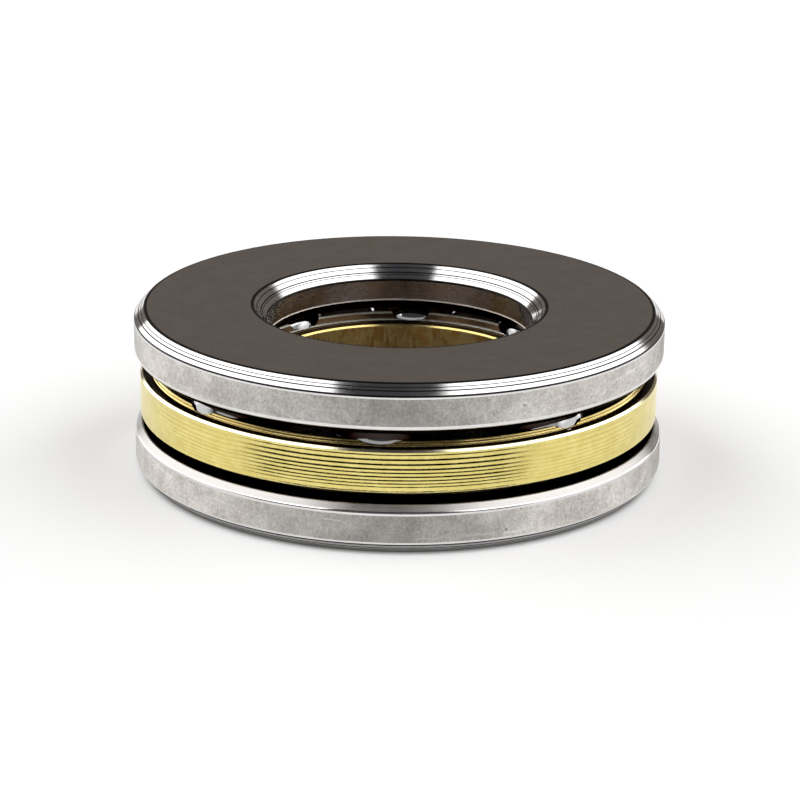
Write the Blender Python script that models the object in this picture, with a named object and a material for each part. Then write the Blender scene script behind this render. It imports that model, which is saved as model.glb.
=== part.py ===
"""Single-direction thrust ball bearing with grooved washers and a turned brass cage, 8 x 16 x 5 mm.

The bearing's axis is Z. It stands on the housing washer's seat face at Z = 0, and the shaft
washer's seat face is at the top. The balls run between two grooves of circular section.
"""

import math

import bmesh
import bpy
from mathutils import Matrix, Vector

MM = 0.001

# Boundary dimensions
OUTER_RADIUS = 8.0 * MM
SHAFT_BORE_RADIUS = 4.0 * MM
HOUSING_BORE_RADIUS = 4.1 * MM
HEIGHT = 5.0 * MM

# Balls, on their pitch circle half-way up the bearing
BALL_COUNT = 8
BALL_RADIUS = 3.175 / 2 * MM
PITCH_RADIUS = 6.0 * MM
BALL_MID_HEIGHT = HEIGHT / 2
FIRST_BALL_ANGLE = math.radians(-4.4)  # measured from -Y towards +X

# Washers, described upwards from the seat face
WASHER_THICKNESS = 1.45 * MM
SEAT_RIM_CHAMFER = 0.31 * MM
SEAT_BORE_CHAMFER = 0.42 * MM
RACE_RIM_CHAMFER = 0.19 * MM
RACE_BORE_CHAMFER = 0.34 * MM
GROOVE_RADIUS = 0.54 * 2 * BALL_RADIUS
BALL_TO_GROOVE_GAP = 0.015 * MM

# Cage, described upwards from its mid-plane; it hangs a little low on the balls
CAGE_MID_HEIGHT = 2.41 * MM
CAGE_OUTER_RADIUS = 7.84 * MM
CAGE_BORE_RADIUS = 4.1 * MM
CAGE_RIM_HALF_HEIGHT = 0.66 * MM
CAGE_WEB_HALF_HEIGHT = 0.72 * MM
CAGE_RIM_WIDTH = 0.10 * MM
CAGE_GROOVE_DEPTH = 0.17 * MM
CAGE_GROOVE_WIDTH = 0.18 * MM
CAGE_GROOVE_DRAFT = 0.03 * MM
RIDGE_FOOT_HALF_HEIGHT = 0.62 * MM
RIDGE_HALF_HEIGHT = 0.80 * MM
UPPER_INNER_RIDGE_HEIGHT = 0.93 * MM
RIDGE_CREST_WIDTH = 0.08 * MM
OUTER_RIDGE_RADIUS = 7.45 * MM
INNER_RIDGE_RADIUS = 4.65 * MM
CAGE_EDGE_CHAMFER = 0.04 * MM

# Ball pockets: a barrel that follows the ball, with a narrower straight mouth that keeps it in
POCKET_RADIUS = BALL_RADIUS + 0.035 * MM
POCKET_MOUTH_RADIUS = 1.52 * MM
POCKET_DEPTH = 1.2 * MM

# Facets of the meshes; the ring count is a multiple of the ball count
RING_SEGMENTS = 64
GROOVE_STEPS = 11
POCKET_SEGMENTS = 24
POCKET_BARREL_STEPS = 2
BALL_SEGMENTS = 20
BALL_RINGS = 12

SHARP_ANGLE = math.radians(25)
WELD_DISTANCE = 0.00001 * MM


def clear_scene():
    for obj in list(bpy.data.objects):
        bpy.data.objects.remove(obj, do_unlink=True)


def metal(name, colour, roughness):
    material = bpy.data.materials.new(name)
    material.use_nodes = True
    shader = material.node_tree.nodes["Principled BSDF"]
    shader.inputs["Base Color"].default_value = (*colour, 1.0)
    shader.inputs["Metallic"].default_value = 1.0
    shader.inputs["Roughness"].default_value = roughness
    return material


def arc(centre, radius, start, end, steps):
    """Points (r, z) on an arc, with both ends; angles are in radians from +r towards +z."""
    points = []
    for step in range(steps + 1):
        angle = start + (end - start) * step / steps
        points.append((centre[0] + radius * math.cos(angle), centre[1] + radius * math.sin(angle)))
    return points


def turned_mesh(name, outline, segments, closed=True):
    """The outline of (r, z) points, turned once round Z. An open outline starts and ends on the axis."""
    shape = bmesh.new()
    corners = [shape.verts.new((r, 0.0, z)) for r, z in outline]
    edges = [shape.edges.new(pair) for pair in zip(corners, corners[1:])]
    if closed:
        edges.append(shape.edges.new((corners[-1], corners[0])))
    bmesh.ops.spin(
        shape,
        geom=corners + edges,
        cent=(0, 0, 0),
        axis=(0, 0, 1),
        angle=2 * math.pi,
        steps=segments,
        use_merge=True,
    )
    bmesh.ops.remove_doubles(shape, verts=shape.verts, dist=WELD_DISTANCE)
    bmesh.ops.recalc_face_normals(shape, faces=shape.faces)
    mesh = bpy.data.meshes.new(name)
    shape.to_mesh(mesh)
    shape.free()
    mesh.shade_smooth()
    mesh.set_sharp_from_angle(angle=SHARP_ANGLE)
    return mesh


def add_object(name, mesh, material, parent, location):
    obj = bpy.data.objects.new(name, mesh)
    bpy.context.scene.collection.objects.link(obj)
    obj.parent = parent
    obj.location = location
    if material and not mesh.materials:
        mesh.materials.append(material)
    return obj


def washer_outline(bore_radius):
    """A washer's section from its seat face up: bore, race face with the ball groove, and outer rim."""
    groove_bottom = BALL_MID_HEIGHT - BALL_RADIUS - BALL_TO_GROOVE_GAP
    groove_centre = groove_bottom + GROOVE_RADIUS
    half_angle = math.acos((groove_centre - WASHER_THICKNESS) / GROOVE_RADIUS)
    straight_down = -math.pi / 2
    bore_side = [
        (bore_radius + SEAT_BORE_CHAMFER, 0.0),
        (bore_radius, SEAT_BORE_CHAMFER),
        (bore_radius, WASHER_THICKNESS - RACE_BORE_CHAMFER),
        (bore_radius + RACE_BORE_CHAMFER, WASHER_THICKNESS),
    ]
    groove = arc(
        (PITCH_RADIUS, groove_centre),
        GROOVE_RADIUS,
        straight_down - half_angle,
        straight_down + half_angle,
        GROOVE_STEPS,
    )
    rim_side = [
        (OUTER_RADIUS - RACE_RIM_CHAMFER, WASHER_THICKNESS),
        (OUTER_RADIUS, WASHER_THICKNESS - RACE_RIM_CHAMFER),
        (OUTER_RADIUS, SEAT_RIM_CHAMFER),
        (OUTER_RADIUS - SEAT_RIM_CHAMFER, 0.0),
    ]
    return bore_side + groove + rim_side


def make_housing_washer(material, parent):
    mesh = turned_mesh("housing_washer", washer_outline(HOUSING_BORE_RADIUS), RING_SEGMENTS)
    return add_object("housing_washer", mesh, material, parent, (0, 0, 0))


def make_shaft_washer(material, parent):
    """The same section as the housing washer's with a closer bore, turned over to face down."""
    mesh = turned_mesh("shaft_washer", washer_outline(SHAFT_BORE_RADIUS), RING_SEGMENTS)
    mesh.transform(Matrix.Rotation(math.pi, 4, "X"))
    return add_object("shaft_washer", mesh, material, parent, (0, 0, HEIGHT))


def cage_face(edge_radius, ridge_radius, ridge_height, inward):
    """Half of a face of the cage, from its edge at edge_radius to the web beside the ball pockets.

    inward is -1 where the web lies towards the axis, and 1 where it lies away from it.
    """
    groove_floor = CAGE_RIM_HALF_HEIGHT - CAGE_GROOVE_DEPTH
    groove_start = edge_radius + inward * CAGE_RIM_WIDTH
    groove_end = groove_start + inward * CAGE_GROOVE_WIDTH
    crest_drop = ridge_height - CAGE_WEB_HALF_HEIGHT
    crest_end = ridge_radius + inward * RIDGE_CREST_WIDTH
    return [
        (edge_radius, CAGE_RIM_HALF_HEIGHT - CAGE_EDGE_CHAMFER),
        (edge_radius + inward * CAGE_EDGE_CHAMFER, CAGE_RIM_HALF_HEIGHT),
        (groove_start, CAGE_RIM_HALF_HEIGHT),
        (groove_start + inward * CAGE_GROOVE_DRAFT, groove_floor),
        (groove_end - inward * CAGE_GROOVE_DRAFT, groove_floor),
        (groove_end, RIDGE_FOOT_HALF_HEIGHT),
        (ridge_radius, ridge_height),
        (crest_end, ridge_height),
        (crest_end + inward * crest_drop, CAGE_WEB_HALF_HEIGHT),
    ]


def cage_outline():
    outer_half = cage_face(CAGE_OUTER_RADIUS, OUTER_RIDGE_RADIUS, RIDGE_HALF_HEIGHT, -1)
    upper_inner = cage_face(CAGE_BORE_RADIUS, INNER_RIDGE_RADIUS, UPPER_INNER_RIDGE_HEIGHT, 1)
    lower_inner = cage_face(CAGE_BORE_RADIUS, INNER_RIDGE_RADIUS, RIDGE_HALF_HEIGHT, 1)
    upper_face = outer_half + upper_inner[::-1]
    lower_face = [(r, -z) for r, z in lower_inner + outer_half[::-1]]
    return upper_face + lower_face


def pocket_outline():
    """One pocket's section round its own upright axis, closed off above and below the cage."""
    barrel_angle = math.acos(POCKET_MOUTH_RADIUS / POCKET_RADIUS)
    barrel = arc((0, 0), POCKET_RADIUS, -barrel_angle, barrel_angle, POCKET_BARREL_STEPS)
    lower_mouth = [(0.0, -POCKET_DEPTH), (POCKET_MOUTH_RADIUS, -POCKET_DEPTH)]
    upper_mouth = [(POCKET_MOUTH_RADIUS, POCKET_DEPTH), (0.0, POCKET_DEPTH)]
    return lower_mouth + barrel + upper_mouth


def ball_directions():
    """Unit vectors from the bearing's axis to the balls."""
    for number in range(BALL_COUNT):
        angle = FIRST_BALL_ANGLE + 2 * math.pi * number / BALL_COUNT
        yield Vector((math.sin(angle), -math.cos(angle), 0))


def make_pocket_cutter(parent):
    """All the pockets as one guide object, which the cage's Boolean takes away."""
    one_pocket = turned_mesh("one_pocket", pocket_outline(), POCKET_SEGMENTS, closed=False)
    pockets = bmesh.new()
    for direction in ball_directions():
        before = set(pockets.verts)
        pockets.from_mesh(one_pocket)
        added = [vert for vert in pockets.verts if vert not in before]
        bmesh.ops.translate(pockets, verts=added, vec=direction * PITCH_RADIUS)
    mesh = bpy.data.meshes.new("pocket_cutter")
    pockets.to_mesh(mesh)
    pockets.free()
    cutter = add_object("pocket_cutter", mesh, None, parent, (0, 0, BALL_MID_HEIGHT - CAGE_MID_HEIGHT))
    cutter.hide_render = True
    cutter.display_type = "WIRE"
    return cutter


def make_cage(material, parent):
    mesh = turned_mesh("ball_cage", cage_outline(), RING_SEGMENTS)
    cage = add_object("ball_cage", mesh, material, parent, (0, 0, CAGE_MID_HEIGHT))
    cut = cage.modifiers.new("pockets", "BOOLEAN")
    cut.operation = "DIFFERENCE"
    cut.solver = "EXACT"
    cut.object = make_pocket_cutter(cage)
    return cage


def ball_mesh(material):
    shape = bmesh.new()
    bmesh.ops.create_uvsphere(
        shape, u_segments=BALL_SEGMENTS, v_segments=BALL_RINGS, radius=BALL_RADIUS
    )
    mesh = bpy.data.meshes.new("ball")
    shape.to_mesh(mesh)
    shape.free()
    mesh.shade_smooth()
    mesh.materials.append(material)
    return mesh


def make_balls(material, cage):
    """The balls ride with the cage. Each one's own Z axis is the radial line that it rolls about."""
    shared_mesh = ball_mesh(material)
    for number, direction in enumerate(ball_directions(), start=1):
        place = direction * PITCH_RADIUS
        place.z = BALL_MID_HEIGHT - CAGE_MID_HEIGHT
        ball = add_object(f"ball_{number}", shared_mesh, material, cage, place)
        ball.rotation_euler = (-direction).to_track_quat("Z", "X").to_euler()


def main():
    clear_scene()
    washer_steel = metal("washer_steel", (0.52, 0.50, 0.48), 0.28)
    cage_brass = metal("cage_brass", (0.80, 0.64, 0.28), 0.25)
    ball_steel = metal("ball_steel", (0.75, 0.75, 0.76), 0.06)
    bearing_axis = add_object("bearing_axis", None, None, None, (0, 0, 0))
    housing_washer = make_housing_washer(washer_steel, bearing_axis)
    make_shaft_washer(washer_steel, housing_washer)
    cage = make_cage(cage_brass, housing_washer)
    make_balls(ball_steel, cage)


main()
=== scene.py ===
"""The thrust ball bearing's looks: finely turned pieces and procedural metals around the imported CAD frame."""

import math

import bmesh
import bpy
import numpy as np
from mathutils import Matrix, Vector


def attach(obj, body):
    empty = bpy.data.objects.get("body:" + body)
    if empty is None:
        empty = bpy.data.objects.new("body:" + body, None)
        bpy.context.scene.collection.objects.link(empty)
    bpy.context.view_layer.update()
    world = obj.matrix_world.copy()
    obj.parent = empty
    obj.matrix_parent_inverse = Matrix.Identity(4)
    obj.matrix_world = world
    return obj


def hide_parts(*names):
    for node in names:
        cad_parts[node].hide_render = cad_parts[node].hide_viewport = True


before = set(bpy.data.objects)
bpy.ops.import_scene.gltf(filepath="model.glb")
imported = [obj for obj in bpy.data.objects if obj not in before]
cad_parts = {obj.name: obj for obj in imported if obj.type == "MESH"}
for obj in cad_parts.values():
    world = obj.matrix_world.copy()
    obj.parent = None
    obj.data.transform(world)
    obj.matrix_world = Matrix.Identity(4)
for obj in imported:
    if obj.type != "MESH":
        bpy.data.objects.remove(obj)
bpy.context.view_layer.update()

MM = 0.001

# Sizes in millimetres, as in the CAD part
OUTER_RADIUS = 8.0
SHAFT_BORE_RADIUS = 4.0
HOUSING_BORE_RADIUS = 4.1
HEIGHT = 5.0
BALL_COUNT = 8
BALL_RADIUS = 3.175 / 2
PITCH_RADIUS = 6.0
BALL_MID_HEIGHT = HEIGHT / 2
FIRST_BALL_ANGLE = math.radians(-4.4)
WASHER_THICKNESS = 1.45
SEAT_RIM_CHAMFER = 0.31
SEAT_BORE_CHAMFER = 0.42
RACE_RIM_CHAMFER = 0.19
RACE_BORE_CHAMFER = 0.34
GROOVE_RADIUS = 0.54 * 2 * BALL_RADIUS
BALL_TO_GROOVE_GAP = 0.015
CAGE_MID_HEIGHT = 2.41
CAGE_OUTER_RADIUS = 7.84
CAGE_BORE_RADIUS = 4.1
CAGE_RIM_HALF_HEIGHT = 0.66
CAGE_WEB_HALF_HEIGHT = 0.72
CAGE_GROOVE_FLOOR = 0.49
RIDGE_FOOT_HALF_HEIGHT = 0.62
RIDGE_HALF_HEIGHT = 0.80
UPPER_INNER_RIDGE_HEIGHT = 0.93
OUTER_RIDGE_RADIUS = 7.45
INNER_RIDGE_RADIUS = 4.65
RIDGE_CREST_WIDTH = 0.08
POCKET_RADIUS = BALL_RADIUS + 0.035
POCKET_MOUTH_RADIUS = 1.52
POCKET_DEPTH = 1.2

# The lathe's grooves round the cage's rim, downwards: (share of the rim's height where each ends, side slope)
LATHE_GROOVES = (
    (0.07, 0.38),
    (0.19, 0.39),
    (0.31, 0.39),
    (0.43, 0.39),
    (0.52, 0.39),
    (0.62, 0.38),
    (0.71, 0.36),
    (0.79, 0.33),
    (0.87, 0.30),
    (1.0, 0.26),
)

# V grooves turned into the washers' chamfers and bore wall: (share of the way along, half width, depth)
BORE_CHAMFER_SCORES = ((0.26, 0.014, 0.010), (0.55, 0.020, 0.014), (0.67, 0.012, 0.009))
BORE_WALL_SCORES = ((0.93, 0.024, 0.020),)
RIM_CHAMFER_SCORES = ((0.43, 0.020, 0.015), (0.68, 0.013, 0.009))

# Fillets and bands finer than the CAD's shapes
SEAT_FILLET = 0.10
RACE_FILLET = 0.05
RACE_RIM_FILLET = 0.12
DARK_RING = 0.075  # width of the seat face's ring beside each chamfer that is painted near black, a painted dark edge line
BURNISHED_RIM = 0.03  # bright part of the rim above the seat chamfer's fillet
CAGE_CORNER = 0.07
CAGE_BORE_CORNER = 0.06
CAGE_RIM_WALL = 0.10  # brass left between the rim or the bore and the groove beside it
CAGE_SHOULDER = (0.40, 0.45)  # where the step below the inner ridge begins and ends, out from the bore
UPPER_SHOULDER_HEIGHT = 0.72
LOWER_SHOULDER_HEIGHT = 0.66
RIDGE_CORNER = 0.025  # how far the inner ridge's bright corner reaches down its side

RING_SEGMENTS = 360
CAGE_SEGMENTS = 250
POCKET_SEGMENTS = 120
SHARP_ANGLE = math.radians(28)
SUPPORT = 0.012  # how far from a corner the flat beside it gets its own ring of points


# ---------------------------------------------------------------- outlines


def arc_points(centre, radius, start, end, steps):
    """Points (r, z) on an arc, with both ends."""
    angles = [start + (end - start) * k / steps for k in range(steps + 1)]
    return [(centre[0] + radius * math.cos(a), centre[1] + radius * math.sin(a)) for a in angles]


def round_corner(before, corner, after, radius, steps=4):
    """The points of a fillet at corner, between the straight lines to its neighbours."""
    c = Vector(corner)
    u = (Vector(before) - c).normalized()
    v = (Vector(after) - c).normalized()
    half = math.acos(max(-1.0, min(1.0, u.dot(v)))) / 2
    reach = radius / math.tan(half)
    reach = min(reach, 0.45 * (Vector(before) - c).length, 0.45 * (Vector(after) - c).length)
    radius = reach * math.tan(half)
    centre = c + (u + v).normalized() * (radius / math.sin(half))
    first, last = c + u * reach - centre, c + v * reach - centre
    turn = first.angle_signed(last)
    points = []
    for k in range(steps + 1):
        a = -turn * k / steps
        points.append(
            (
                centre.x + first.x * math.cos(a) - first.y * math.sin(a),
                centre.y + first.x * math.sin(a) + first.y * math.cos(a),
            )
        )
    return points


def outline_of(corners):
    """A closed outline from (r, z, fillet radius) corners, with support points beside each rounded corner."""
    points = []
    count = len(corners)
    for k, (r, z, fillet) in enumerate(corners):
        if fillet:
            before, after = corners[k - 1][:2], corners[(k + 1) % count][:2]
            points += round_corner(before, (r, z), after, fillet)
        else:
            points.append((r, z))
    full = []
    for k, here in enumerate(points):
        there = points[(k + 1) % len(points)]
        full.append(here)
        run = Vector(there) - Vector(here)
        if run.length > 5 * SUPPORT:
            step = run.normalized() * SUPPORT
            full.append((here[0] + step.x, here[1] + step.y))
            full.append((there[0] - step.x, there[1] - step.y))
    return full


def scored_line(start, end, lines):
    """Corners from start to end, with a V groove at each (share of the way, half width, depth).

    The material is on the right.
    """
    s, e = Vector(start), Vector(end)
    along = (e - s).normalized()
    into = Vector((along.y, -along.x))
    corners = []
    for share, half_width, depth in lines:
        middle = s + (e - s) * share
        for offset, drop in ((-half_width, 0.0), (0.0, depth), (half_width, 0.0)):
            p = middle + along * offset + into * drop
            corners.append((p.x, p.y, 0))
    return corners


def scalloped_line(start, end, grooves, steps=6):
    """Corners from start to end along turned grooves, each (share of the way at its end, slope of its sides).

    The material is on the right.
    """
    s, e = Vector(start), Vector(end)
    along = (e - s).normalized()
    into = Vector((along.y, -along.x))
    length = (e - s).length
    corners = []
    begin = 0.0
    for finish, slope in grooves:
        width = (finish - begin) * length
        for k in range(1, steps + 1):
            t = k / steps
            sag = slope * width / 3 * (1 - abs(1 - 2 * t) ** 1.5)
            p = s + along * (begin * length + width * t) + into * sag
            if finish < 1.0 or k < steps:
                corners.append((p.x, p.y, 0))
        begin = finish
    return corners


# ---------------------------------------------------------------- meshes


def turned(name, outline, segments, finish_of, wobble=None):
    """The closed (r, z) outline turned once round Z, as a mesh of quads.

    finish_of(r, z) gives a face's material index, and wobble(r, z, angle) may move the points.
    """
    flat = np.array(outline)
    angles = np.arange(segments) * (2 * math.pi / segments)
    r = np.broadcast_to(flat[:, 0], (segments, len(flat)))
    z = np.broadcast_to(flat[:, 1], (segments, len(flat)))
    if wobble is not None:
        r, z = wobble(r, z, angles[:, None])
    points = np.stack([r * np.cos(angles)[:, None], r * np.sin(angles)[:, None], z], axis=2)
    rows = np.arange(segments)[:, None] * len(flat)
    next_rows = ((np.arange(segments) + 1) % segments)[:, None] * len(flat)
    here = np.arange(len(flat))[None, :]
    there = (here + 1) % len(flat)
    quads = np.stack([rows + here, rows + there, next_rows + there, next_rows + here], axis=2)
    mesh = bpy.data.meshes.new(name)
    mesh.from_pydata((points.reshape(-1, 3) * MM).tolist(), [], quads.reshape(-1, 4).tolist())
    middles = (flat + np.roll(flat, -1, axis=0)) / 2
    finishes = np.array([finish_of(*m) for m in middles], np.int32)
    mesh.polygons.foreach_set("material_index", np.tile(finishes, segments))
    mesh.update()
    return mesh


def finish_mesh(mesh):
    """Smooth shading that stays sharp at corners."""
    mesh.shade_smooth()
    mesh.set_sharp_from_angle(angle=SHARP_ANGLE)


def place(name, mesh, materials, body, node):
    """Puts the mesh in the scene as the piece that stands for a CAD node."""
    for material in materials:
        mesh.materials.append(material)
    obj = bpy.data.objects.new(name, mesh)
    bpy.context.scene.collection.objects.link(obj)
    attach(obj, body)
    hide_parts(node)
    return obj


def race_groove():
    """The corners of the ball groove in a washer's race face, from the bore's side to the rim's."""
    bottom = BALL_MID_HEIGHT - BALL_RADIUS - BALL_TO_GROOVE_GAP
    centre = (PITCH_RADIUS, bottom + GROOVE_RADIUS)
    half_angle = math.acos((centre[1] - WASHER_THICKNESS) / GROOVE_RADIUS)
    down = -math.pi / 2
    arc = arc_points(centre, GROOVE_RADIUS, down - half_angle, down + half_angle, 40)
    fillet = 0.02
    return [(*arc[0], fillet), *[(*p, 0) for p in arc[1:-1]], (*arc[-1], fillet)]


def washer_outline(bore_radius):
    """A washer's section from its seat face up, clockwise: bore, race face with its groove, rim, seat."""
    bore_chamfer = ((bore_radius + SEAT_BORE_CHAMFER, 0.0), (bore_radius, SEAT_BORE_CHAMFER))
    bore_wall = (bore_chamfer[1], (bore_radius, WASHER_THICKNESS - RACE_BORE_CHAMFER))
    rim_chamfer = ((OUTER_RADIUS, SEAT_RIM_CHAMFER), (OUTER_RADIUS - SEAT_RIM_CHAMFER, 0.0))
    rim_top = WASHER_THICKNESS - RACE_RIM_CHAMFER
    fillet_reach = SEAT_FILLET * math.tan(math.pi / 8)
    return outline_of(
        [
            (bore_chamfer[0][0] + DARK_RING, 0.0, 0),
            (*bore_chamfer[0], SEAT_FILLET),
            *scored_line(*bore_chamfer, BORE_CHAMFER_SCORES),
            (*bore_chamfer[1], SEAT_FILLET),
            *scored_line(*bore_wall, BORE_WALL_SCORES),
            (*bore_wall[1], 0.03),
            (bore_radius + RACE_BORE_CHAMFER, WASHER_THICKNESS, RACE_FILLET),
            *race_groove(),
            (OUTER_RADIUS - RACE_RIM_CHAMFER, WASHER_THICKNESS, RACE_FILLET),
            (OUTER_RADIUS, rim_top, RACE_RIM_FILLET),
            (OUTER_RADIUS, rim_top - 0.08, 0),
            (OUTER_RADIUS, SEAT_RIM_CHAMFER + BURNISHED_RIM + fillet_reach, 0),
            (*rim_chamfer[0], SEAT_FILLET),
            *scored_line(*rim_chamfer, RIM_CHAMFER_SCORES),
            (*rim_chamfer[1], SEAT_FILLET),
            (rim_chamfer[1][0] - DARK_RING, 0.0, 0),
        ]
    )


# The order of a washer's materials
FACE, RIM, CHAMFER, BORE, RACE, CORNER, PAINTED_SHADE, LIP = range(8)


def washer_finish(bore_radius, corner):
    """Which finish a point of the washer's outline has. corner is the finish of its race face's corners."""
    on_surface = 1e-4
    in_score = 0.002  # deeper than this under a chamfer is in a V groove
    fillet_end = 0.024  # the part of a seat fillet painted near black, a painted dark edge line
    bore_face_edge = bore_radius + SEAT_BORE_CHAMFER
    rim_face_edge = OUTER_RADIUS - SEAT_RIM_CHAMFER
    dark_ring = DARK_RING - 0.005

    # The near-black finish here is a painted shade: on the V grooves, the ends of the seat fillets and the seat
    # face's rings beside the chamfers.
    def seat_side(r, z):
        if r < PITCH_RADIUS:
            at_end = z < fillet_end or z > SEAT_BORE_CHAMFER - 0.025
            return PAINTED_SHADE if at_end or r + z - bore_face_edge > in_score else CHAMFER
        dark_end = SEAT_RIM_CHAMFER - 0.032
        at_end = z < fillet_end or dark_end < z < SEAT_RIM_CHAMFER + 0.022
        scored = rim_face_edge - r + z > in_score and z < dark_end
        return PAINTED_SHADE if at_end or scored else CHAMFER

    def race_side(r, z):
        # The bore wall's groove by the race face is light steel, a painted highlight along the bore's end.
        if z < WASHER_THICKNESS - RACE_BORE_CHAMFER - 0.02 and r < bore_radius + 0.05:
            return LIP
        if r > OUTER_RADIUS - 0.036:
            return CHAMFER
        # The race faces away from these corners take the near-black race finish, a painted shade.
        near_bore = r < bore_radius + RACE_BORE_CHAMFER + 0.03
        near_rim = r > OUTER_RADIUS - RACE_RIM_CHAMFER - 0.03
        return corner if near_bore or near_rim else RACE

    def finish(r, z):
        if z < on_surface:
            return PAINTED_SHADE if r < bore_face_edge + dark_ring or r > rim_face_edge - dark_ring else FACE
        if r < bore_radius + on_surface:
            return BORE
        if r > OUTER_RADIUS - on_surface:
            ground = SEAT_RIM_CHAMFER + 2 * BURNISHED_RIM < z < WASHER_THICKNESS - RACE_RIM_CHAMFER - 0.07
            return RIM if ground else CHAMFER
        return seat_side(r, z) if z < 0.5 else race_side(r, z)

    return finish


def cage_outline():
    """The cage's section, clockwise, z from its mid-plane: rim and bore, and a groove and a ridge by each."""
    bore, rim = CAGE_BORE_RADIUS, CAGE_OUTER_RADIUS
    top, web, crest = CAGE_RIM_HALF_HEIGHT, CAGE_WEB_HALF_HEIGHT, RIDGE_HALF_HEIGHT
    floor, foot = CAGE_GROOVE_FLOOR, RIDGE_FOOT_HALF_HEIGHT

    def inner_face(ridge, shoulder):
        slope = ((bore + 0.28, foot), (bore + CAGE_SHOULDER[0], shoulder))
        crest_end = INNER_RIDGE_RADIUS + RIDGE_CREST_WIDTH
        return [
            (bore, top - CAGE_BORE_CORNER, 0.02),
            (bore + CAGE_BORE_CORNER, top, 0.015),
            (bore + CAGE_RIM_WALL, top, 0.02),
            (bore + CAGE_RIM_WALL + 0.03, floor, 0.01),
            (bore + 0.25, floor, 0.01),
            (*slope[0], 0.02),
            *scalloped_line(*slope, ((0.5, 0.3), (1.0, 0.3)), 4),
            (*slope[1], 0.01),
            (bore + CAGE_SHOULDER[1], shoulder, 0.01),
            (INNER_RIDGE_RADIUS - RIDGE_CORNER, ridge - 0.06, 0.005),
            (INNER_RIDGE_RADIUS, ridge, 0.02),
            (crest_end, ridge, 0.015),
            (crest_end + ridge - web, web, 0.015),
        ]

    outer_foot, outer_crest = (rim - 0.32, foot + 0.06), (OUTER_RIDGE_RADIUS, crest)
    outer_face = [
        (OUTER_RIDGE_RADIUS - 2 * RIDGE_CREST_WIDTH, web, 0.015),
        (OUTER_RIDGE_RADIUS - RIDGE_CREST_WIDTH, crest, 0.015),
        (*outer_crest, 0.015),
        *scalloped_line(outer_crest, outer_foot, ((0.5, 0.4), (1.0, 0.4)), 4),
        (*outer_foot, 0.01),
        (rim - 0.29, floor, 0.01),
        (rim - CAGE_RIM_WALL - 0.03, floor, 0.01),
        (rim - CAGE_RIM_WALL, top, 0.02),
        (rim - CAGE_CORNER, top, 0.015),
        (rim, top - CAGE_CORNER, 0.02),
    ]
    upper = inner_face(UPPER_INNER_RIDGE_HEIGHT, UPPER_SHOULDER_HEIGHT) + outer_face
    lower = inner_face(crest, LOWER_SHOULDER_HEIGHT) + outer_face
    rim_end = top - CAGE_CORNER
    side = scalloped_line((rim, rim_end), (rim, -rim_end), LATHE_GROOVES)
    return outline_of(upper + side + [(r, -z, f) for r, z, f in reversed(lower)])


# The order of the cage's materials
RIM_BRASS, FACE_BRASS, BORE_BRASS, DARK_BRASS, EDGE_BRASS, CREST_BRASS = range(6)


def cage_finish(r, z):
    """Which finish a point of the cage's outline has, z from its mid-plane."""
    height = abs(z)
    crest_end = INNER_RIDGE_RADIUS + RIDGE_CREST_WIDTH
    slope_end = CAGE_BORE_RADIUS + CAGE_SHOULDER[0] - 0.03
    shoulder_end = CAGE_BORE_RADIUS + CAGE_SHOULDER[1] + 0.005
    ridge_corner = INNER_RIDGE_RADIUS - RIDGE_CORNER
    # The rim's top and outer corner are pale brass, a painted highlight.
    if r > CAGE_OUTER_RADIUS - CAGE_RIM_WALL:
        return EDGE_BRASS if height > CAGE_RIM_HALF_HEIGHT - CAGE_CORNER - 0.002 else RIM_BRASS
    # The shoulder and the inner ridge's corner are near-white brass, a painted highlight.
    if slope_end < r < shoulder_end or ridge_corner < r < crest_end - 0.005:
        return CREST_BRASS
    if r < CAGE_BORE_RADIUS + 0.001:
        return BORE_BRASS
    # The grooves, the web between the ridges and the faces beside the shoulder are near-black brass, a painted
    # shade.
    in_groove = height < RIDGE_FOOT_HALF_HEIGHT - 0.01
    on_web = crest_end < r < OUTER_RIDGE_RADIUS - RIDGE_CREST_WIDTH
    below_shoulder = CAGE_BORE_RADIUS + CAGE_RIM_WALL < r < slope_end
    above_shoulder = shoulder_end < r < ridge_corner
    return DARK_BRASS if in_groove or on_web or below_shoulder or above_shoulder else FACE_BRASS


def pocket_outline():
    """A pocket's section, upwards: a barrel round the ball between two narrower mouths."""
    barrel_angle = math.acos(POCKET_MOUTH_RADIUS / POCKET_RADIUS)
    barrel = arc_points((0, 0), POCKET_RADIUS, -barrel_angle, barrel_angle, 12)
    return [(POCKET_MOUTH_RADIUS, -POCKET_DEPTH), *barrel, (POCKET_MOUTH_RADIUS, POCKET_DEPTH)]


def ball_directions():
    """The directions from the axis to the balls, one after another."""
    for number in range(BALL_COUNT):
        angle = FIRST_BALL_ANGLE + 2 * math.pi * number / BALL_COUNT
        yield Vector((math.sin(angle), -math.cos(angle), 0))


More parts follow.
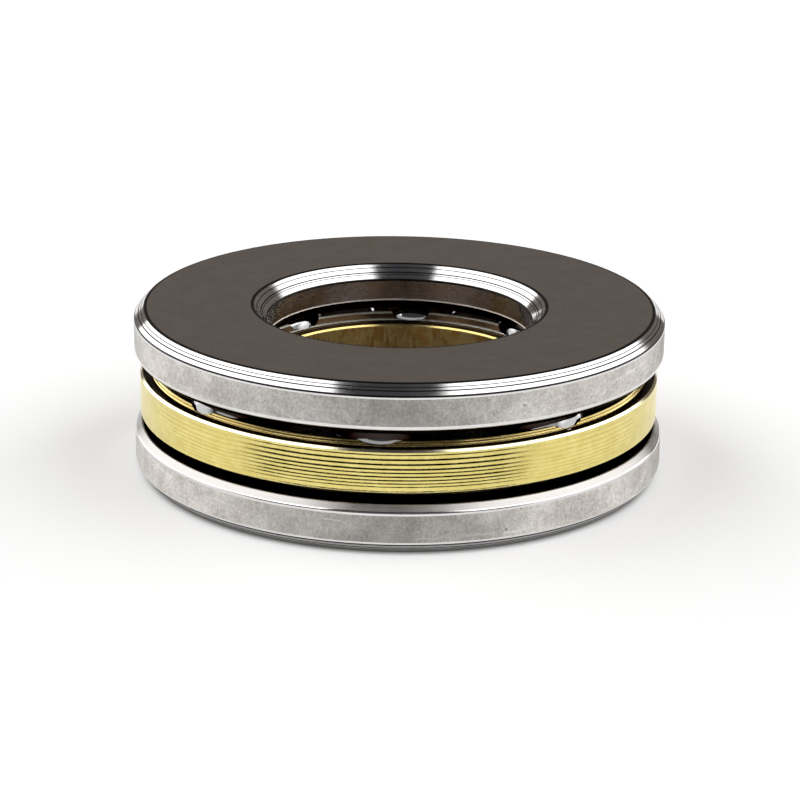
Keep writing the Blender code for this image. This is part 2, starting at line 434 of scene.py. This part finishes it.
def make_pocket_cutter():
    """Every pocket as one mesh, which the cage's Boolean takes away."""
    cutter = bmesh.new()
    outline = pocket_outline()
    for direction in ball_directions():
        centre = direction * PITCH_RADIUS
        rings = []
        for r, z in outline:
            ring = []
            for k in range(POCKET_SEGMENTS):
                a = 2 * math.pi * k / POCKET_SEGMENTS
                x, y = centre.x + r * math.cos(a), centre.y + r * math.sin(a)
                ring.append(cutter.verts.new((x * MM, y * MM, (BALL_MID_HEIGHT + z) * MM)))
            rings.append(ring)
        for low, high in zip(rings, rings[1:]):
            for k in range(POCKET_SEGMENTS):
                n = (k + 1) % POCKET_SEGMENTS
                cutter.faces.new((low[k], low[n], high[n], high[k]))
        cutter.faces.new(rings[0][::-1])
        cutter.faces.new(rings[-1])
    mesh = bpy.data.meshes.new("pocket_cutter")
    cutter.to_mesh(mesh)
    cutter.free()
    obj = bpy.data.objects.new("pocket_cutter", mesh)
    bpy.context.scene.collection.objects.link(obj)
    return obj


def cage_wobble(r, z, angle):
    """Lets the lathe lines on the rim wander a little, less and less towards the rim's edges."""
    share = np.clip(1 - np.abs(z) / (CAGE_RIM_HALF_HEIGHT - CAGE_CORNER), 0, 1)
    rim = np.where(r > CAGE_OUTER_RADIUS - 0.03, np.minimum(share * 3, 1), 0)
    shift = 0.010 * np.sin(angle + 1.3 * z) + 0.006 * np.sin(2 * angle + 5 * z)
    return r + 0 * angle, z + rim * shift


def make_cage(materials):
    """The cage's turned blank less its pockets. Blank and cutter list the same materials in one order."""
    mesh = turned("cage_blank", cage_outline(), CAGE_SEGMENTS, cage_finish, cage_wobble)
    mesh.transform(Matrix.Translation((0, 0, CAGE_MID_HEIGHT * MM)))
    for material in materials:
        mesh.materials.append(material)
    blank = bpy.data.objects.new("cage_blank", mesh)
    bpy.context.scene.collection.objects.link(blank)
    cutter = make_pocket_cutter()
    for material in materials:
        cutter.data.materials.append(material)
    # The pocket walls are near-black brass, a painted shade.
    cutter.data.polygons.foreach_set("material_index", [DARK_BRASS] * len(cutter.data.polygons))
    cut = blank.modifiers.new("pockets", "BOOLEAN")
    cut.operation = "DIFFERENCE"
    cut.solver = "MANIFOLD"
    cut.object = cutter
    bpy.context.view_layer.update()
    graph = bpy.context.evaluated_depsgraph_get()
    made = bpy.data.meshes.new_from_object(blank.evaluated_get(graph))
    made.name = "cage_turned"
    bpy.data.objects.remove(blank)
    bpy.data.objects.remove(cutter)
    finish_mesh(made)
    return place("cage_turned", made, [], "cage", "ball_cage")


def make_washer(name, bore_radius, turned_over, materials, body, node):
    # The turned-over washer's race corners also take the near-black race finish, a painted shade.
    finish = washer_finish(bore_radius, RACE if turned_over else CORNER)
    mesh = turned(name, washer_outline(bore_radius), RING_SEGMENTS, finish)
    if turned_over:
        mesh.transform(Matrix.Translation((0, 0, HEIGHT * MM)) @ Matrix.Rotation(math.pi, 4, "X"))
    finish_mesh(mesh)
    return place(name, mesh, materials, body, node)


def make_balls(material):
    for number, direction in enumerate(ball_directions(), start=1):
        shape = bmesh.new()
        centre = direction * PITCH_RADIUS
        centre.z = BALL_MID_HEIGHT
        bmesh.ops.create_icosphere(
            shape, subdivisions=6, radius=BALL_RADIUS * MM, matrix=Matrix.Translation(centre * MM)
        )
        mesh = bpy.data.meshes.new(f"polished_ball_{number}")
        shape.to_mesh(mesh)
        shape.free()
        mesh.shade_smooth()
        place(f"polished_ball_{number}", mesh, [material], f"ball_{number}", f"ball_{number}")


# ---------------------------------------------------------------- materials


def add(tree, kind, settings=None, inputs=None):
    """A new node with its settings, its inputs set to numbers or linked from sockets."""
    node = tree.nodes.new(kind)
    for key, value in (settings or {}).items():
        setattr(node, key, value)
    for key, value in (inputs or {}).items():
        if isinstance(value, bpy.types.NodeSocket):
            tree.links.new(value, node.inputs[key])
        else:
            node.inputs[key].default_value = value
    return node


def calc(tree, operation, a, b=0.0, c=0.0):
    return add(tree, "ShaderNodeMath", {"operation": operation}, {0: a, 1: b, 2: c}).outputs[0]


def vector_calc(tree, operation, inputs):
    return add(tree, "ShaderNodeVectorMath", {"operation": operation}, inputs)


def ramp(tree, value, low, high, to_low=0.0, to_high=1.0):
    """value mapped smoothly from low..high to to_low..to_high, and held outside."""
    settings = {"interpolation_type": "SMOOTHSTEP"}
    inputs = {"Value": value, "From Min": low, "From Max": high, "To Min": to_low, "To Max": to_high}
    return add(tree, "ShaderNodeMapRange", settings, inputs).outputs[0]


def blend_colours(tree, share, a, b):
    inputs = {0: share, 6: a, 7: b}  # the Mix node's sockets for colours
    return add(tree, "ShaderNodeMix", {"data_type": "RGBA"}, inputs).outputs[2]


class Turning:
    """Coordinates of a turned piece in millimetres, and noise stretched along or across the turning."""

    def __init__(self, tree):
        self.tree = tree
        own = add(tree, "ShaderNodeTexCoord").outputs["Object"]
        self.point = vector_calc(tree, "SCALE", {0: own, "Scale": 1 / MM}).outputs[0]
        flat = vector_calc(tree, "MULTIPLY", {0: self.point, 1: (1, 1, 0)}).outputs[0]
        self.radius = vector_calc(tree, "LENGTH", {0: flat}).outputs["Value"]

    def noise(self, scale, detail=3.0, roughness=0.5):
        inputs = {"Vector": self.point, "Scale": scale, "Detail": detail, "Roughness": roughness}
        return add(self.tree, "ShaderNodeTexNoise", None, inputs).outputs[0]

    def streaks(self, around, across, detail=2.0, roughness=0.5):
        """Noise that changes around times per millimetre round the axis and across times over the section."""
        stretch = (around, around, across)
        stretched = vector_calc(self.tree, "MULTIPLY", {0: self.point, 1: stretch}).outputs[0]
        inputs = {
            "Vector": stretched,
            "W": calc(self.tree, "MULTIPLY", self.radius, across),
            "Scale": 1.0,
            "Detail": detail,
            "Roughness": roughness,
        }
        return add(self.tree, "ShaderNodeTexNoise", {"noise_dimensions": "4D"}, inputs).outputs[0]

    def bump(self, height, depth, normal=None):
        """A bump whose full height is depth millimetres."""
        inputs = {"Strength": 1.0, "Distance": depth * MM, "Height": height}
        if normal is not None:
            inputs["Normal"] = normal
        return add(self.tree, "ShaderNodeBump", None, inputs).outputs[0]


def new_metal(name):
    material = bpy.data.materials.new(name)
    material.use_nodes = True
    shader = material.node_tree.nodes["Principled BSDF"]
    shader.inputs["Metallic"].default_value = 1.0
    return material, material.node_tree, shader


def worn_metal(name, light, dark, roughness, grain, streak, mottle=(1.2, 0.35, 0.65), glancing=None):
    """A turned or ground metal.

    light and dark are its colours, roughness its least and most. grain is (scale, depth in mm) of its fine
    texture; streak is (around, across, depth in mm) of its tool marks; mottle is the scale and the range of
    the blotches between the two colours; glancing is the tint of its reflections at a glancing angle.
    """
    material, tree, shader = new_metal(name)
    if glancing:
        shader.inputs["Specular Tint"].default_value = (*glancing, 1)
    turning = Turning(tree)
    patches = ramp(tree, turning.noise(mottle[0], detail=5.0, roughness=0.6), mottle[1], mottle[2])
    marks = turning.streaks(streak[0], streak[1])
    share = calc(tree, "MULTIPLY_ADD", marks, 0.5, calc(tree, "MULTIPLY", patches, 0.5))
    colour = blend_colours(tree, share, (*dark, 1), (*light, 1))
    tree.links.new(colour, shader.inputs["Base Color"])
    rough = ramp(tree, calc(tree, "ADD", calc(tree, "MULTIPLY", patches, 0.4), marks), 0.3, 1.1, *roughness)
    tree.links.new(rough, shader.inputs["Roughness"])
    normal = turning.bump(marks, streak[2])
    normal = turning.bump(turning.noise(grain[0], detail=2.0), grain[1], normal)
    tree.links.new(normal, shader.inputs["Normal"])
    return material


def upright_brass(name, light, dark, roughness):
    """The cage bore's rough brass: short upright scores over mottled colour."""
    material, tree, shader = new_metal(name)
    turning = Turning(tree)
    patches = ramp(tree, turning.noise(2.2, detail=5.0, roughness=0.65), 0.38, 0.62)
    scores = turning.streaks(14.0, 1.6, detail=3.0, roughness=0.6)
    share = ramp(tree, calc(tree, "ADD", calc(tree, "MULTIPLY", patches, 0.5), scores), 0.45, 1.0)
    tree.links.new(blend_colours(tree, share, (*dark, 1), (*light, 1)), shader.inputs["Base Color"])
    tree.links.new(ramp(tree, scores, 0.3, 0.7, *roughness), shader.inputs["Roughness"])
    normal = turning.bump(scores, 0.010)
    tree.links.new(turning.bump(turning.noise(30.0), 0.002, normal), shader.inputs["Normal"])
    return material


def ground_rim(name, light, dark, roughness):
    """The washers' matt ground rim: blotches, fine grain, small pits and a few slanting scratches."""
    material, tree, shader = new_metal(name)
    turning = Turning(tree)
    patches = ramp(tree, turning.noise(0.9, detail=6.0, roughness=0.65), 0.35, 0.65)
    grain = ramp(tree, turning.noise(12.0, detail=3.0, roughness=0.7), 0.3, 0.7)
    slanted = add(
        tree,
        "ShaderNodeMapping",
        None,
        {"Vector": turning.point, "Rotation": (0.6, 0.4, 0.0), "Scale": (0.5, 0.5, 8.0)},
    ).outputs[0]
    lines = add(tree, "ShaderNodeTexNoise", None, {"Vector": slanted, "Scale": 1.0, "Detail": 2.0}).outputs[0]
    scratches = ramp(tree, lines, 0.66, 0.72)
    pits = ramp(tree, turning.noise(7.0, detail=1.0), 0.22, 0.30, 1.0, 0.0)
    share = calc(tree, "MULTIPLY_ADD", grain, 0.45, calc(tree, "MULTIPLY", patches, 0.55))
    share = calc(tree, "SUBTRACT", share, calc(tree, "MULTIPLY", pits, 0.8))
    share = calc(tree, "MULTIPLY_ADD", scratches, 0.35, share)
    share = calc(tree, "MINIMUM", calc(tree, "MAXIMUM", share, 0.0), 1.0)
    tree.links.new(blend_colours(tree, share, (*dark, 1), (*light, 1)), shader.inputs["Base Color"])
    tree.links.new(ramp(tree, patches, 0.0, 1.0, *roughness), shader.inputs["Roughness"])
    round_axis = add(tree, "ShaderNodeTangent", {"direction_type": "RADIAL", "axis": "Z"}).outputs[0]
    tree.links.new(round_axis, shader.inputs["Tangent"])
    shader.inputs["Anisotropic"].default_value = 0.9
    # The grinding lines run round, so light spreads upright
    shader.inputs["Anisotropic Rotation"].default_value = 0.25
    depth = calc(tree, "SUBTRACT", grain, calc(tree, "MULTIPLY_ADD", scratches, 0.6, pits))
    tree.links.new(turning.bump(depth, 0.0035), shader.inputs["Normal"])
    return material


def make_steels():
    """The washers' materials, in the order of the finishes from FACE to LIP."""
    face = worn_metal(
        "ground_steel_face",
        light=(0.60, 0.575, 0.55),
        dark=(0.56, 0.54, 0.51),
        roughness=(0.24, 0.32),
        grain=(45, 0.0006),
        streak=(0.5, 22, 0.0004),
    )
    rim = ground_rim("ground_steel_rim", (0.93, 0.90, 0.87), (0.46, 0.43, 0.40), (0.56, 0.64))
    chamfer = worn_metal(
        "turned_steel_chamfer",
        light=(0.80, 0.79, 0.78),
        dark=(0.68, 0.67, 0.66),
        roughness=(0.07, 0.14),
        grain=(40, 0.0002),
        streak=(0.15, 30, 0.0006),
    )
    bore = worn_metal(
        "bored_steel",
        light=(0.50, 0.455, 0.49),
        dark=(0.43, 0.39, 0.42),
        roughness=(0.20, 0.32),
        grain=(40, 0.0008),
        streak=(0.4, 20, 0.0010),
    )
    # Near-black steel on the race faces and their groove: a painted shade for the dark gap between the washers.
    race = worn_metal(
        "race_steel_painted_shade",
        light=(0.075, 0.057, 0.050),
        dark=(0.045, 0.034, 0.030),
        roughness=(0.12, 0.22),
        grain=(40, 0.0003),
        streak=(0.2, 25, 0.0004),
        glancing=(0.2, 0.17, 0.15),
    )
    corner = worn_metal(
        "race_corner_steel",
        light=(0.56, 0.54, 0.52),
        dark=(0.44, 0.42, 0.40),
        roughness=(0.26, 0.38),
        grain=(40, 0.0008),
        streak=(0.4, 25, 0.0010),
    )
    # Near-black steel: painted shade in the V grooves, and painted dark lines along the chamfers' edges and the
    # seat face beside them.
    painted_shade_steel = worn_metal(
        "steel_painted_shade",
        light=(0.030, 0.029, 0.028),
        dark=(0.012, 0.011, 0.011),
        roughness=(0.35, 0.45),
        grain=(40, 0.0004),
        streak=(0.2, 25, 0.0004),
    )
    # Light steel: a painted highlight in the bore wall's groove by the race face.
    lip = worn_metal(
        "lip_steel_painted_highlight",
        light=(0.80, 0.75, 0.70),
        dark=(0.70, 0.65, 0.60),
        roughness=(0.60, 0.70),
        grain=(40, 0.0004),
        streak=(0.4, 25, 0.0004),
    )
    return [face, rim, chamfer, bore, race, corner, painted_shade_steel, lip]


def make_brasses():
    """The cage's materials, in the order of the finishes from RIM_BRASS to CREST_BRASS."""
    rim = worn_metal(
        "lathe_brass",
        light=(0.88, 0.76, 0.29),
        dark=(0.68, 0.56, 0.16),
        roughness=(0.08, 0.20),
        grain=(22, 0.0030),
        streak=(1.3, 12, 0.0050),
        mottle=(2.4, 0.3, 0.7),
    )
    face = worn_metal(
        "faced_brass",
        light=(0.84, 0.68, 0.28),
        dark=(0.66, 0.48, 0.16),
        roughness=(0.12, 0.24),
        grain=(30, 0.0010),
        streak=(0.4, 24, 0.0012),
    )
    bore = upright_brass("bored_brass", (1.0, 0.80, 0.38), (0.86, 0.54, 0.17), (0.30, 0.50))
    # Near-black brass: a painted shade in the cage's grooves and pockets, on its web and beside its shoulders.
    dark = worn_metal(
        "brass_painted_shade",
        light=(0.13, 0.080, 0.040),
        dark=(0.045, 0.028, 0.016),
        roughness=(0.20, 0.35),
        grain=(30, 0.0010),
        streak=(0.4, 24, 0.0012),
    )
    # Paler than the rim's brass: a painted highlight on the rim's top and outer corner.
    edge = worn_metal(
        "brass_edge_painted_highlight",
        light=(0.97, 0.90, 0.66),
        dark=(0.86, 0.78, 0.50),
        roughness=(0.10, 0.18),
        grain=(30, 0.0006),
        streak=(0.5, 20, 0.0008),
    )
    # Near-white brass: a painted highlight on the shoulder and the inner ridge's corner.
    crest = worn_metal(
        "brass_crest_painted_highlight",
        light=(1.0, 0.97, 0.90),
        dark=(0.96, 0.90, 0.78),
        roughness=(0.45, 0.60),
        grain=(30, 0.0006),
        streak=(0.5, 20, 0.0008),
    )
    return [rim, face, bore, dark, edge, crest]


def make_ball_steel():
    return worn_metal(
        "polished_ball_steel",
        light=(0.60, 0.60, 0.61),
        dark=(0.54, 0.54, 0.55),
        roughness=(0.03, 0.06),
        grain=(20, 0.0001),
        streak=(1.0, 4.0, 0.0001),
    )


# ---------------------------------------------------------------- studio


def floor_paint():
    """White paint that glows a little, but for the contact shade under the bearing."""
    material = bpy.data.materials.new("floor_paint")
    material.use_nodes = True
    tree = material.node_tree
    shader = tree.nodes["Principled BSDF"]
    own = add(tree, "ShaderNodeTexCoord").outputs["Object"]
    cloud = add(tree, "ShaderNodeTexNoise", None, {"Vector": own, "Scale": 12.0}).outputs[0]
    colour = blend_colours(tree, cloud, (0.92, 0.92, 0.92, 1), (0.94, 0.94, 0.94, 1))
    reach = vector_calc(tree, "LENGTH", {0: own}).outputs["Value"]
    lit = ramp(tree, reach, (OUTER_RADIUS - 0.5) * MM, (OUTER_RADIUS + 0.05) * MM)
    tree.links.new(blend_colours(tree, lit, (0.15, 0.14, 0.13, 1), colour), shader.inputs["Base Color"])
    glow = blend_colours(tree, lit, (0.0, 0.0, 0.0, 1), (0.25, 0.25, 0.25, 1))
    tree.links.new(glow, shader.inputs["Emission Color"])
    shader.inputs["Emission Strength"].default_value = 1.0
    shader.inputs["Roughness"].default_value = 0.9
    shader.inputs["Specular IOR Level"].default_value = 0.1
    return material


def make_floor():
    shape = bmesh.new()
    bmesh.ops.create_circle(shape, cap_ends=True, segments=128, radius=0.45)
    mesh = bpy.data.meshes.new("studio_floor")
    shape.to_mesh(mesh)
    shape.free()
    mesh.materials.append(floor_paint())
    floor = bpy.data.objects.new("studio_floor", mesh)
    bpy.context.scene.collection.objects.link(floor)


# The studio's colours. x is to the right, y to the back and z up in the direction that a reflection looks.
PANEL = (2.1, 2.1, 2.1, 1)
WALL = (1.05, 1.04, 1.02, 1)
DARK_OVERHEAD = (0.055, 0.055, 0.060, 1)
DARK_ROOM = (0.008, 0.008, 0.008, 1)
CEILING_EDGE = (0.55, 0.54, 0.53, 1)
DIM_BACK = (0.155, 0.133, 0.118, 1)
BACKDROP = (1.0, 1.0, 1.0, 1)


def both(tree, a, b):
    """The share of a direction that two shares have in common."""
    return calc(tree, "MULTIPLY", a, b)


def falling(tree, value, low, high):
    return ramp(tree, value, low, high, 1.0, 0.0)


def band(tree, value, start, end):
    """1 between start and end, each (low, high) of a soft step."""
    return both(tree, ramp(tree, value, *start), falling(tree, value, *end))


def panel_edge(tree, y, choose, lines):
    """The x where a panel overhead ends: one of two straight lines, each (slope, offset) of x against y."""
    first, second = [calc(tree, "MULTIPLY_ADD", y, slope, offset) for slope, offset in lines]
    return calc(tree, choose, first, second)


def overhead_gap(tree, x, y):
    """1 in the gap between the left and the right panel, which is narrowest above the bearing."""
    left = panel_edge(tree, y, "MINIMUM", ((-0.216, -0.354), (0.45, -0.1745)))
    right = panel_edge(tree, y, "MAXIMUM", ((0.474, 0.345), (-0.56, 0.0658)))
    inside_left = ramp(tree, calc(tree, "SUBTRACT", x, left), -0.02, 0.02)
    inside_right = ramp(tree, calc(tree, "SUBTRACT", right, x), -0.04, 0.04)
    return both(tree, inside_left, inside_right)


def studio_colour(tree, x, y, z):
    """What metal reflects: bright panels over pale walls, parted by a dark gap and the dark room in front."""
    panel_height = calc(tree, "ADD", z, ramp(tree, y, 0.2, 0.7, 0.0, 0.35))
    bright = blend_colours(tree, ramp(tree, panel_height, 0.35, 0.50), WALL, PANEL)
    room = both(tree, falling(tree, z, 0.52, 0.58), falling(tree, y, -0.2, 0.1))
    between_walls = band(tree, x, (-0.985, -0.82), (0.70, 0.90))
    gap = calc(tree, "MAXIMUM", overhead_gap(tree, x, y), both(tree, room, between_walls))
    dark = blend_colours(tree, room, DARK_OVERHEAD, DARK_ROOM)
    ceiling_edge = both(tree, band(tree, z, (0.42, 0.46), (0.51, 0.55)), falling(tree, y, -0.6, -0.3))
    dark = blend_colours(tree, ceiling_edge, dark, CEILING_EDGE)
    low_back = both(tree, ramp(tree, y, 0.45, 0.75), falling(tree, z, 0.45, 0.62))
    dark = blend_colours(tree, low_back, dark, DIM_BACK)
    return blend_colours(tree, gap, bright, dark)


def make_world():
    """The studio in every reflection, and a plain white backdrop where the camera sees past the floor."""
    world = bpy.data.worlds.new("studio")
    bpy.context.scene.world = world
    world.use_nodes = True
    tree = world.node_tree
    background = tree.nodes["Background"]
    direction = add(tree, "ShaderNodeTexCoord").outputs["Generated"]
    seen_in_metal = studio_colour(tree, *add(tree, "ShaderNodeSeparateXYZ", None, {0: direction}).outputs)
    is_camera = add(tree, "ShaderNodeLightPath").outputs["Is Camera Ray"]
    tree.links.new(blend_colours(tree, is_camera, seen_in_metal, BACKDROP), background.inputs["Color"])
    background.inputs["Strength"].default_value = 1.0


# The camera looks at the middle of the bearing from in front and a little above
CAMERA_ELEVATION = math.radians(18.264)
CAMERA_DISTANCE = 85.7
CAMERA_ROLL = math.radians(0.76)
CAMERA_LENS = 126.53
CAMERA_SHIFT = (0.00175, -0.02275)


def make_camera():
    data = bpy.data.cameras.new("camera")
    data.lens = CAMERA_LENS
    data.sensor_width = 36.0
    data.shift_x, data.shift_y = CAMERA_SHIFT
    data.clip_start, data.clip_end = 0.005, 5.0
    camera = bpy.data.objects.new("camera", data)
    bpy.context.scene.collection.objects.link(camera)
    cos_e, sin_e = math.cos(CAMERA_ELEVATION), math.sin(CAMERA_ELEVATION)
    back = Vector((0, -cos_e, sin_e))
    up = Vector((0, sin_e, cos_e))
    right = Vector((1, 0, 0))
    cos_r, sin_r = math.cos(CAMERA_ROLL), math.sin(CAMERA_ROLL)
    rolled_right = right * cos_r + up * sin_r
    rolled_up = up * cos_r - right * sin_r
    turn = Matrix((rolled_right, rolled_up, back)).transposed().to_4x4()
    at = Vector((0, 0, HEIGHT / 2)) * MM + back * CAMERA_DISTANCE * MM
    camera.matrix_world = Matrix.Translation(at) @ turn
    bpy.context.scene.camera = camera


def main():
    steels = make_steels()
    make_washer("housing_washer_ground", HOUSING_BORE_RADIUS, False, steels, "housing", "housing_washer")
    make_washer("shaft_washer_ground", SHAFT_BORE_RADIUS, True, steels, "shaft", "shaft_washer")
    make_cage(make_brasses())
    make_balls(make_ball_steel())
    make_floor()
    make_world()
    make_camera()
    bpy.context.scene.view_settings.view_transform = "Standard"
    bpy.context.scene.view_settings.look = "None"


main()
